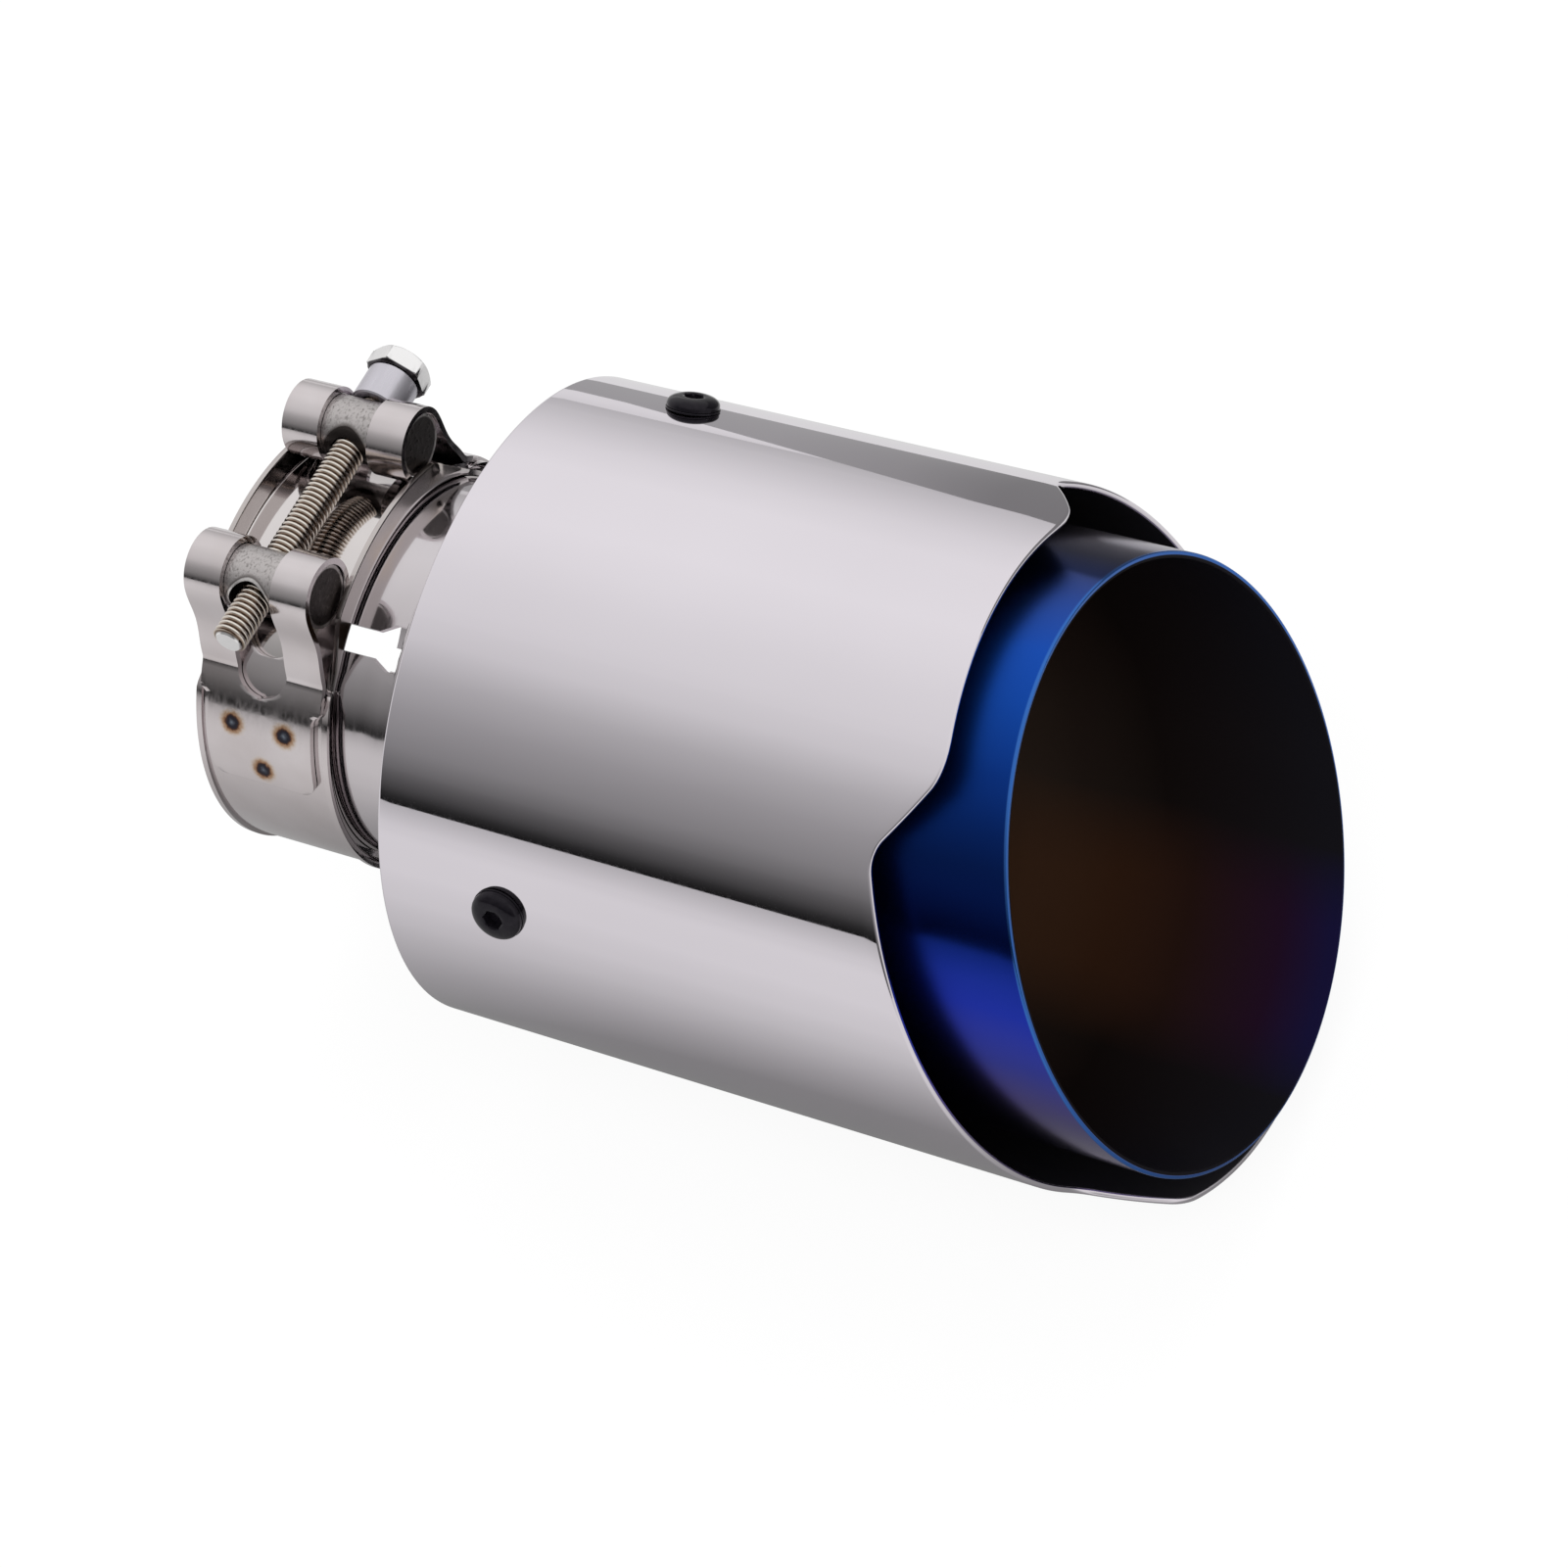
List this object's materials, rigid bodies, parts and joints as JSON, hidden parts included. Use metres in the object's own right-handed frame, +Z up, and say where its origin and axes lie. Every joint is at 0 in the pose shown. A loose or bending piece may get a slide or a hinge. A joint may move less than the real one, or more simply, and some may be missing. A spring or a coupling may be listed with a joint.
{
  "type": "exhaust tip",
  "caption": "Slash-cut double-wall exhaust tip with a lobed polished sleeve, heat-blued inner tube, slotted neck and single-bolt band clamp.",
  "frame": {"origin": "centre of the neck's open rear end, on the tube's axis", "axes": "+X along the tube towards the mouth, +Z up towards the clamp bolt"},
  "size_m": [0.1871, 0.1148, 0.1154],
  "materials": {
    "sleeve_steel": "mirror polished stainless sheet",
    "tip_blue": "polished stainless sheet, heat-coloured blue",
    "neck_steel": "polished stainless tube",
    "clamp_steel": "polished stainless strip with heat-tinted weld spots",
    "trunnion_steel": "matt tumbled steel",
    "bolt_steel": "bright rolled steel",
    "black_steel": "black oxide steel"
  },
  "bodies": {
    "root": {"neck_tube": "neck_steel", "rear_cone": "tip_blue", "inner_tip": "tip_blue", "outer_sleeve": "sleeve_steel", "clamp_bridge": "clamp_steel", "clamp_band": "clamp_steel", "nut_trunnion": "trunnion_steel", "plain_trunnion": "trunnion_steel", "bolt_spacer": "trunnion_steel", "clamp_bolt": "bolt_steel", "sleeve_screw_1": "black_steel", "sleeve_screw_2": "black_steel", "sleeve_screw_3": "black_steel", "screw_washer_1": "black_steel", "screw_washer_2": "black_steel", "screw_washer_3": "black_steel", "screw_boss_1": "bolt_steel", "screw_boss_2": "bolt_steel", "screw_boss_3": "bolt_steel"}
  },
  "joints": []
}
